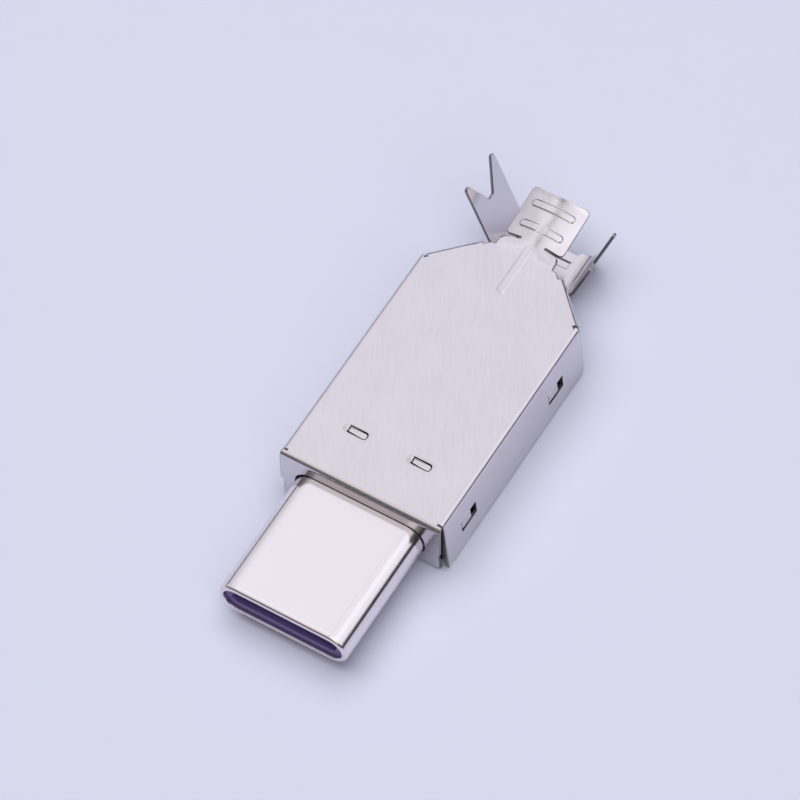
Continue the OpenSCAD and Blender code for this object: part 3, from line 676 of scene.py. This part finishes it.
def tail_corners(top):
    """Corners of the right half of the tail, with an ear of the given height."""
    ear = [(TAIL_HALF + s, EAR_START + y, r) for s, y, r in ear_corners(top)]
    return [(TAIL_HALF, REAR, 0), (TAIL_HALF, EAR_START, EAR_FRONT_R), *ear,
            (TAIL_HALF, EAR_START + EAR_L, EAR_REAR_R), (TAIL_HALF, EAR_START + FLOOR_L, FLOOR_CORNER)]


def lower_wall_u(z):
    """Place in the lower cover's pattern at which the outside of its wall has a height."""
    return LOW_FLAT + BEND * QUARTER + z - BEND


def barb_hole(start, end, side):
    """Slit round the three free sides of a barb."""
    top, low, under = (side * lower_wall_u(z) for z in (BARB_TOP, BARB_BOTTOM, BARB_BOTTOM - BARB_SLIT))
    before, beyond = start - BARB_SLIT, end + BARB_SLIT
    return fillet_loop([
        (top, before, BARB_END_R), (under, before, BARB_SLIT_R),
        (under, beyond, BARB_SLIT_R), (top, beyond, BARB_END_R),
        (top, end, BARB_END_R), (low, end, BARB_R), (low, start, BARB_R), (top, start, BARB_END_R)])


def lower_pattern():
    """Outline, holes, bend lines and mesh points of the lower cover's flat pattern."""
    wall_end = LOW_FLAT + BEND * QUARTER + INNER_WALL_H - BEND
    front_end = front_edge(SEAM_Z - SEAM_GAP)
    opening = front_edge(PLUG_Z - OPENING_RISE)
    front_half = FLANGE_HALF - FLANGE_STEP
    taper_end = BEND * QUARTER + SEAM_Z - SEAM_GAP - BEND
    strip = (TAPER_RELIEF + NEST, TAPER * ROOT2 - REAR_RELIEF - NEST)
    right = opening_corner(opening, front_end)
    right += [(front_half, front_end, CORNER), (front_half, BEND, FLANGE_FOOT), (LOW_FLAT, BEND, 0),
              (LOW_FLAT, LOW_FRONT, 0), (wall_end, LOW_FRONT, CORNER), (wall_end, LOW_REAR, CORNER),
              (LOW_FLAT, LOW_REAR, 0), (LOW_FLAT, LOW_TAPER_LINE - LOW_FLAT, 0)]
    right += taper_corners(LOW_INSET, *strip, taper_end, CORNER)
    right.append((LOW_TAPER_LINE - REAR, REAR, 0))
    left = [(-x, y, r) for x, y, r in reversed(right + tail_corners(EAR_TALL))]
    outline = fillet_loop(right + tail_corners(EAR_SHORT) + left, limit=EAR_CORNER_SHARE)

    holes = [barb_hole(start, end, side) for start, end in BARB_ENDS for side in (-1, 1)]

    lines = bend_lines((LOW_FLAT, LOW_FRONT), (LOW_FLAT, LOW_REAR), (1, 0), BEND, QUARTER)
    lines += taper_lines(LOW_INSET, *strip)
    lines += bend_lines((TAIL_HALF, EAR_START), (TAIL_HALF, EAR_START + EAR_L), (1, 0),
                        EAR_OUT, EAR_TURN, EAR_PARTS)
    for start, end in BARB_ENDS:
        for k in range(BARB_PARTS + 1):
            u = lower_wall_u(BARB_TOP - BARB_STEP * k / BARB_PARTS)
            lines.append(((u, start), (u, end)))
    lines = both_sides(lines)
    lines += bend_lines((-front_half, BEND), (front_half, BEND), (0, -1), BEND, FRONT_TURN)

    points = grid((-TAIL_HALF + RAMP_INSET, TAIL_HALF - RAMP_INSET),
                  (REAR - AROUND, EAR_START - AROUND), RAMP_STEPS)
    groove = EAR_START + GROOVE_Y
    points += grid((-TAIL_HALF + GROOVE_INSET, TAIL_HALF - GROOVE_INSET),
                   (groove - GROOVE_ZONE, groove + GROOVE_ZONE), GROOVE_STEPS)
    return outline, holes, lines, points


# Plug shell

def arc(centre, radius, start, end, parts):
    """Points along an arc, both ends included."""
    return [(centre[0] + radius * cos(t), centre[1] + radius * sin(t))
            for t in np.linspace(start, end, parts + 1)]


def shell_section():
    """Points (distance from the tube's axis, Y) round the wall's section, and their outward normals."""
    out_r = PLUG_T / 2
    bore, lip = out_r - SHELL_WALL, out_r - SHELL_WALL - LIP_TURN
    edge, lip_edge = SHELL_EDGE_R, LIP_EDGE_R
    y0, y1 = -PLUG_L, SHELL_TAIL
    section = arc((out_r - edge, y1 - edge), edge, QUARTER, 0, EDGE_PARTS)
    section += [(out_r, y) for y in np.linspace(y1 - TUBE_REAR, y0 + LIP_R + TUBE_FRONT, TUBE_PARTS + 1)]
    section += arc((out_r - LIP_R, y0 + LIP_R), LIP_R, 0, -QUARTER, LIP_PARTS)
    section += arc((lip + lip_edge, y0 + lip_edge), lip_edge, -QUARTER, -pi, LIP_EDGE_PARTS)
    section += [(lip, y0 + LIP_R), (bore, y0 + LIP_R + LIP_TURN)]
    section += arc((bore + edge, y1 - edge), edge, pi, QUARTER, EDGE_PARTS)
    section = np.array(section)
    ahead = unit(np.roll(section, -1, 0) - section)
    both = unit(ahead + np.roll(ahead, 1, 0))
    return section, np.stack([-both[:, 1], both[:, 0]], 1)


def shell_object(name):
    """Rolled tube: the wall's section, carried round the stadium."""
    section, section_normal = shell_section()
    axis = (PLUG_W - PLUG_T) / 2
    stations = []
    for end, first in ((axis, -QUARTER), (-axis, QUARTER)):
        for angle in np.linspace(first, first + pi, ROUND_PARTS + 1):
            stations.append((end, cos(angle), sin(angle)))
        for x in np.linspace(end, -end, FLAT_PARTS + 1)[1:-1]:
            stations.append((x, 0.0, 1.0 if end > 0 else -1.0))
    verts, normals, faces = [], [], []
    rows, cols = len(stations), len(section)
    for x, nx, nz in stations:
        for (r, y), (nr, ny) in zip(section, section_normal):
            verts.append((x + nx * r, y, PLUG_Z + nz * r))
            normals.append((nx * nr, ny, nz * nr))
    for i in range(rows):
        here, ahead = i * cols, (i + 1) % rows * cols
        for j in range(cols):
            k = (j + 1) % cols
            faces.append((ahead + j, ahead + k, here + k, here + j))
    return new_mesh_object(name, verts, faces, normals)


# The upper cover's rolled outline edge takes the darkened edges' finish too: a painted dark outline round the
# cover
upper = sheet_object("upper_cover_sheet", *upper_pattern(), upper_surface, outward=1, roll=EDGE_FINISH_AND_SHADE)
lower = sheet_object("lower_cover_sheet", *lower_pattern(), lower_surface, outward=-1, roll=OWN_FINISH)
shell = shell_object("plug_shell_tube")
for piece, node, slot in ((upper, "upper_cover", "plated_sheet"), (lower, "lower_cover", "plated_sheet"),
                          (shell, "plug_shell", "polished_shell")):
    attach(piece, "root")
    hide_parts(node)


# Materials

# Usual range of the noise, shares of the fine and the broad noise in a finish, and height of a bump
NOISE_LOW, NOISE_HIGH = 0.3, 0.7
FINE_SHARE, BROAD_SHARE = 0.5, 0.5
BUMP_H = 0.02


def nodes_of(tree):
    """Functions that add a node to an emptied tree and that link two sockets in it."""
    tree.nodes.clear()

    def add(kind, **values):
        node = tree.nodes.new(kind)
        for key, value in values.items():
            if hasattr(node, key) and key not in node.inputs:
                setattr(node, key, value)
            else:
                node.inputs[key].default_value = value
        return node
    return add, tree.links.new


def material(name, colour, rough, metallic, grain, colour_spread, rough_spread, bump,
             stretch=(1, 1, 1), patch=0.5, turn=0.0):
    """Procedural finish: fine grain, stretched along the working direction, and broad soft patches.

    grain and patch are waves to the millimetre.
    """
    mat = bpy.data.materials.new(name)
    mat.use_nodes = True
    add, link = nodes_of(mat.node_tree)
    out = add("ShaderNodeOutputMaterial")
    shader = add("ShaderNodeBsdfPrincipled", Metallic=metallic)
    link(shader.outputs["BSDF"], out.inputs["Surface"])

    where = add("ShaderNodeTexCoord")
    to_mm = add("ShaderNodeVectorMath", operation="SCALE", Scale=1 / MM)
    link(where.outputs["Object"], to_mm.inputs[0])
    turned = add("ShaderNodeVectorRotate", rotation_type="Z_AXIS", Angle=turn)
    link(to_mm.outputs[0], turned.inputs["Vector"])
    along = add("ShaderNodeVectorMath", operation="MULTIPLY")
    along.inputs[1].default_value = stretch
    link(turned.outputs[0], along.inputs[0])
    fine = add("ShaderNodeTexNoise", Scale=grain, Detail=4.0, Roughness=0.6)
    link(along.outputs[0], fine.inputs["Vector"])
    broad = add("ShaderNodeTexNoise", Scale=patch, Detail=3.0, Roughness=0.5)
    link(to_mm.outputs[0], broad.inputs["Vector"])

    broad_part = add("ShaderNodeMath", operation="MULTIPLY")
    broad_part.inputs[1].default_value = BROAD_SHARE
    link(broad.outputs["Fac"], broad_part.inputs[0])
    mixed = add("ShaderNodeMath", operation="MULTIPLY_ADD")
    mixed.inputs[1].default_value = FINE_SHARE
    link(fine.outputs["Fac"], mixed.inputs[0])
    link(broad_part.outputs[0], mixed.inputs[2])

    def spread(low, high):
        """The mixed noise, carried from its usual range to low and high."""
        limits = {"From Min": NOISE_LOW, "From Max": NOISE_HIGH, "To Min": low, "To Max": high}
        node = add("ShaderNodeMapRange", **limits)
        link(mixed.outputs[0], node.inputs["Value"])
        return node.outputs[0]

    tint = add("ShaderNodeMix", data_type="RGBA")
    tint.inputs["A"].default_value = (*[c * (1 - colour_spread) for c in colour], 1)
    tint.inputs["B"].default_value = (*[min(1, c * (1 + colour_spread)) for c in colour], 1)
    link(spread(0, 1), tint.inputs["Factor"])
    link(tint.outputs["Result"], shader.inputs["Base Color"])
    link(spread(rough - rough_spread, rough + rough_spread), shader.inputs["Roughness"])
    relief = add("ShaderNodeBump", Strength=bump, Distance=BUMP_H * MM)
    link(fine.outputs["Fac"], relief.inputs["Height"])
    link(relief.outputs["Normal"], shader.inputs["Normal"])
    return mat


plated = material("plated_sheet", (0.667, 0.634, 0.663), rough=0.18, metallic=1.0, grain=3.0,
                  colour_spread=0.05, rough_spread=0.04, bump=0.08, stretch=(2.5, 0.25, 2.5), patch=0.45,
                  turn=radians(-30))
# Cut edges of the sheets: a rough cut face, made darker than the steel as painted shade, so that the edges
# show as dark outlines
cut_edge_and_shade = material("cut_edge_painted_shade", (0.30, 0.29, 0.31), rough=0.42, metallic=1.0, grain=9.0,
                   colour_spread=0.12, rough_spread=0.08, bump=0.2, stretch=(1, 1, 0.4), patch=1.5)
polished = material("polished_shell", (0.80, 0.748, 0.769), rough=0.16, metallic=1.0, grain=6.0,
                    colour_spread=0.02, rough_spread=0.03, bump=0.04, stretch=(0.4, 2.0, 2.0), patch=0.4)
purple = material("purple_moulding", (0.15, 0.11, 0.31), rough=0.38, metallic=0.0, grain=30.0,
                  colour_spread=0.12, rough_spread=0.06, bump=0.1)
black = material("black_moulding", (0.02, 0.02, 0.022), rough=0.5, metallic=0.0, grain=30.0,
                 colour_spread=0.2, rough_spread=0.08, bump=0.15)
spring = material("spring_steel", (0.6, 0.6, 0.63), rough=0.28, metallic=1.0, grain=6.0,
                  colour_spread=0.05, rough_spread=0.06, bump=0.1, stretch=(1, 0.2, 1))
gold = material("gold_contact", (0.85, 0.62, 0.25), rough=0.25, metallic=1.0, grain=8.0,
                colour_spread=0.06, rough_spread=0.06, bump=0.08, stretch=(1, 0.2, 1))
laminate = material("laminate", (0.03, 0.14, 0.06), rough=0.45, metallic=0.0, grain=12.0,
                    colour_spread=0.2, rough_spread=0.08, bump=0.15)
resistor = material("resistor_body", (0.03, 0.03, 0.034), rough=0.55, metallic=0.0, grain=20.0,
                    colour_spread=0.25, rough_spread=0.08, bump=0.15)
paper = material("floor_paper", (0.651, 0.660, 0.812), rough=0.7, metallic=0.0, grain=0.25,
                 colour_spread=0.012, rough_spread=0.05, bump=0.02, patch=0.06)

for piece, piece_finishes in ((upper, (plated, cut_edge_and_shade)), (lower, (plated, cut_edge_and_shade)), (shell, (polished,))):
    for finish in piece_finishes:
        piece.data.materials.append(finish)
node_finishes = {"insulator": purple, "upper_carrier": black, "lower_carrier": black, "side_latch": spring,
                 "upper_ground_spring": spring, "lower_ground_spring": spring, "paddle_board": laminate,
                 "chip_resistor": resistor}
for name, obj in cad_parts.items():
    finish = gold if name.startswith("contact_") else node_finishes.get(name)
    if finish is None:
        continue
    obj.data.materials.clear()
    obj.data.materials.append(finish)
    rounding = obj.modifiers.new("edges", "BEVEL")
    rounding.width = PIECE_EDGE * MM
    rounding.segments = PIECE_EDGE_PARTS
    rounding.limit_method = "ANGLE"
    rounding.harden_normals = True


# Floor

FLOOR_REACH = 2000

floor_mesh = bpy.data.meshes.new("floor")
floor_corners = [(x * FLOOR_REACH * MM, y * FLOOR_REACH * MM, 0)
                 for x, y in ((-1, -1), (1, -1), (1, 1), (-1, 1))]
floor_mesh.from_pydata(floor_corners, [], [(0, 1, 2, 3)])
floor_mesh.materials.append(paper)
floor = bpy.data.objects.new("floor", floor_mesh)
bpy.context.scene.collection.objects.link(floor)


# Room that the metal mirrors, by the X, Y and Z of the direction, from -1 to 1

CEILING, DARKEST = 1.02, 0.03
# Soft patches of the ceiling: middle and width in X, middle and width in Y, and light added there
PATCHES = {"overhead": (0.25, 0.28, 0.08, 0.26, 0.42), "beam": (-0.2, 0.055, 0.08, 0.2, -1.0),
           "left wall": (-0.58, 0.17, 0.15, 0.18, -0.2), "shine": (-0.32, 0.1, 0.28, 0.09, 0.25)}
# Soft steps, from nothing to the whole change, and stripes, by middle and width
LEFT_END, LEFT_END_LIGHT = (-0.6, -0.92), -0.3
STRIPE, STRIPE_LIGHT = (0.5, 0.14), 0.15
CREASE, CREASE_START, CREASE_LIGHT = (0.12, 0.08), (0.3, 0.4), -0.12
# Dark front corners: direction in X and Y, soft step along it, and share of the light taken away
FRONT_LEFT_WAY, FRONT_LEFT, FRONT_LEFT_DIM = (0.5, 1), (-0.51, -0.83), 0.75
FRONT_RIGHT_WAY, FRONT_RIGHT, FRONT_RIGHT_DIM = (1, -1), (0.85, 1.1), 0.95
FRONT_RIGHT_LOW, FRONT_RIGHT_SIDE = (0.42, 0.28), (-0.62, -0.5)
# Height at which the ceiling begins, how it changes with X and with Y squared, and how soft it is
RIM, RIM_X, RIM_Y, RIM_SOFT, RIM_SOFT_X = 0.12, 0.08, 0.15, 0.15, 0.05
REAR_LEFT, REAR_LEFT_RISE = (-0.62, 0.07, 0.75, 0.08), 0.28
# Colour in front and behind, and how it changes with Y
WARM, COOL, COOL_Y, COOL_MIDDLE = (1.0, 0.96, 0.93, 1), (1.0, 0.998, 1.08, 1), 1.1, 0.5

world = bpy.data.worlds.new("studio")
bpy.context.scene.world = world
world.use_nodes = True
add, link = nodes_of(world.node_tree)
out = add("ShaderNodeOutputWorld")
sky = add("ShaderNodeBackground", Strength=1.0)
link(sky.outputs[0], out.inputs["Surface"])
where = add("ShaderNodeTexCoord")
split = add("ShaderNodeSeparateXYZ")
link(where.outputs["Generated"], split.inputs[0])
x, y, z = (split.outputs[axis] for axis in "XYZ")


def feed(socket, value):
    """Give a number or a node's output to a socket."""
    if isinstance(value, (int, float)):
        socket.default_value = value
    else:
        link(value, socket)


def combine(operation, *values):
    """Math node on numbers and node outputs."""
    node = add("ShaderNodeMath", operation=operation)
    for socket, value in zip(node.inputs, values):
        feed(socket, value)
    return node.outputs[0]


def plane(constant, across, along):
    """Value that rises with the direction's X and Y."""
    sideways = combine("MULTIPLY_ADD", x, across, constant)
    return combine("MULTIPLY_ADD", y, along, sideways)


def ramp(value, low, high):
    """Soft step from 0 at low to 1 at high."""
    step = add("ShaderNodeMapRange", interpolation_type="SMOOTHSTEP")
    for socket, given in (("Value", value), ("From Min", low), ("From Max", high)):
        feed(step.inputs[socket], given)
    return step.outputs["Result"]


def bell(value, middle, width):
    """Soft hump of height 1 round a middle."""
    off = combine("DIVIDE", combine("SUBTRACT", value, middle), width)
    return combine("EXPONENT", combine("MULTIPLY", combine("MULTIPLY", off, off), -1.0))


def patch(middle_x, width_x, middle_y, width_y):
    """Soft round patch of height 1."""
    return combine("MULTIPLY", bell(x, middle_x, width_x), bell(y, middle_y, width_y))


def dimmed(light, mask, share):
    """Light less a share of it where the mask is 1."""
    return combine("MULTIPLY", light, combine("MULTIPLY_ADD", mask, -share, 1.0))


# A bright ceiling, brightest overhead to the right, with a dark beam across it and a darker left wall. It
# ends at the dark sides of the room, which stand higher at the rear left, and at two dark front corners.
brightness = combine("MULTIPLY_ADD", ramp(x, *LEFT_END), LEFT_END_LIGHT, CEILING)
for *place, light in PATCHES.values():
    brightness = combine("MULTIPLY_ADD", patch(*place), light, brightness)
brightness = combine("MULTIPLY_ADD", bell(x, *STRIPE), STRIPE_LIGHT, brightness)
crease = combine("MULTIPLY", bell(x, *CREASE), ramp(y, *CREASE_START))
brightness = combine("MULTIPLY_ADD", crease, CREASE_LIGHT, brightness)
brightness = dimmed(brightness, ramp(plane(0, *FRONT_LEFT_WAY), *FRONT_LEFT), FRONT_LEFT_DIM)
corner_part = combine("MAXIMUM", ramp(z, *FRONT_RIGHT_LOW), ramp(y, *FRONT_RIGHT_SIDE))
front_right = combine("MULTIPLY", ramp(plane(0, *FRONT_RIGHT_WAY), *FRONT_RIGHT), corner_part)
brightness = dimmed(brightness, front_right, FRONT_RIGHT_DIM)
rim = combine("MULTIPLY_ADD", combine("MULTIPLY", y, y), RIM_Y, plane(RIM, RIM_X, 0))
rim = combine("MULTIPLY_ADD", patch(*REAR_LEFT), REAR_LEFT_RISE, rim)
rim_end = combine("ADD", rim, plane(RIM_SOFT, RIM_SOFT_X, 0))
brightness = combine("MULTIPLY", brightness, ramp(z, rim, rim_end))
tone = add("ShaderNodeMix", data_type="RGBA")
tone.inputs["A"].default_value = WARM
tone.inputs["B"].default_value = COOL
link(combine("MULTIPLY_ADD", y, COOL_Y, COOL_MIDDLE), tone.inputs["Factor"])
ceiling = add("ShaderNodeVectorMath", operation="SCALE")
link(tone.outputs["Result"], ceiling.inputs[0])
link(combine("MAXIMUM", brightness, DARKEST), ceiling.inputs["Scale"])
link(ceiling.outputs[0], sky.inputs["Color"])
world.cycles_visibility.diffuse = False


# Lamps, with sizes and distance in metres

LAMP_REACH = 0.7


def soft_lamp(name, way, size, watts):
    """Square soft lamp that lights the paper and shows in no reflection."""
    data = bpy.data.lights.new(name, "AREA")
    data.size = size
    data.energy = watts
    lamp = bpy.data.objects.new(name, data)
    bpy.context.scene.collection.objects.link(lamp)
    way = Vector(way).normalized()
    lamp.location = way * LAMP_REACH
    lamp.rotation_euler = way.to_track_quat("Z", "Y").to_euler()
    lamp.visible_glossy = False


soft_lamp("softbox", way=(-0.15, 0.05, 1), size=0.8, watts=5.9)
soft_lamp("fill", way=(0.6, -0.35, 0.72), size=0.6, watts=1.3)


# Camera, as fitted to the straight edges of the photo: pixels for the lens, millimetres for its place

PHOTO_PX, FOCAL_PX, SENSOR = 800, 5189.9, 36
AZIMUTH, ELEVATION, ROLL = radians(34.946), radians(57.901), radians(-4.355)
DISTANCE, TARGET_X, TARGET_Y, TARGET_Z = 289.93, -1.943, 7.397, 2
NEAREST, FARTHEST = 10, 20000

camera_data = bpy.data.cameras.new("camera")
camera_data.sensor_width = SENSOR
camera_data.lens = FOCAL_PX / PHOTO_PX * SENSOR
camera_data.clip_start = NEAREST * MM
camera_data.clip_end = FARTHEST * MM
camera = bpy.data.objects.new("camera", camera_data)
bpy.context.scene.collection.objects.link(camera)
target = Vector((TARGET_X * MM, ORIGIN_Y + TARGET_Y * MM, TARGET_Z * MM))
back = Vector((sin(AZIMUTH) * cos(ELEVATION), -cos(AZIMUTH) * cos(ELEVATION), sin(ELEVATION)))
level = Vector((cos(AZIMUTH), sin(AZIMUTH), 0))
upright = back.cross(level)
right = cos(ROLL) * level + sin(ROLL) * upright
up = -sin(ROLL) * level + cos(ROLL) * upright
place = Matrix((right, up, back)).transposed().to_4x4()
place.translation = target + back * DISTANCE * MM
camera.matrix_world = place
bpy.context.scene.camera = camera

bpy.context.scene.view_settings.view_transform = "Standard"
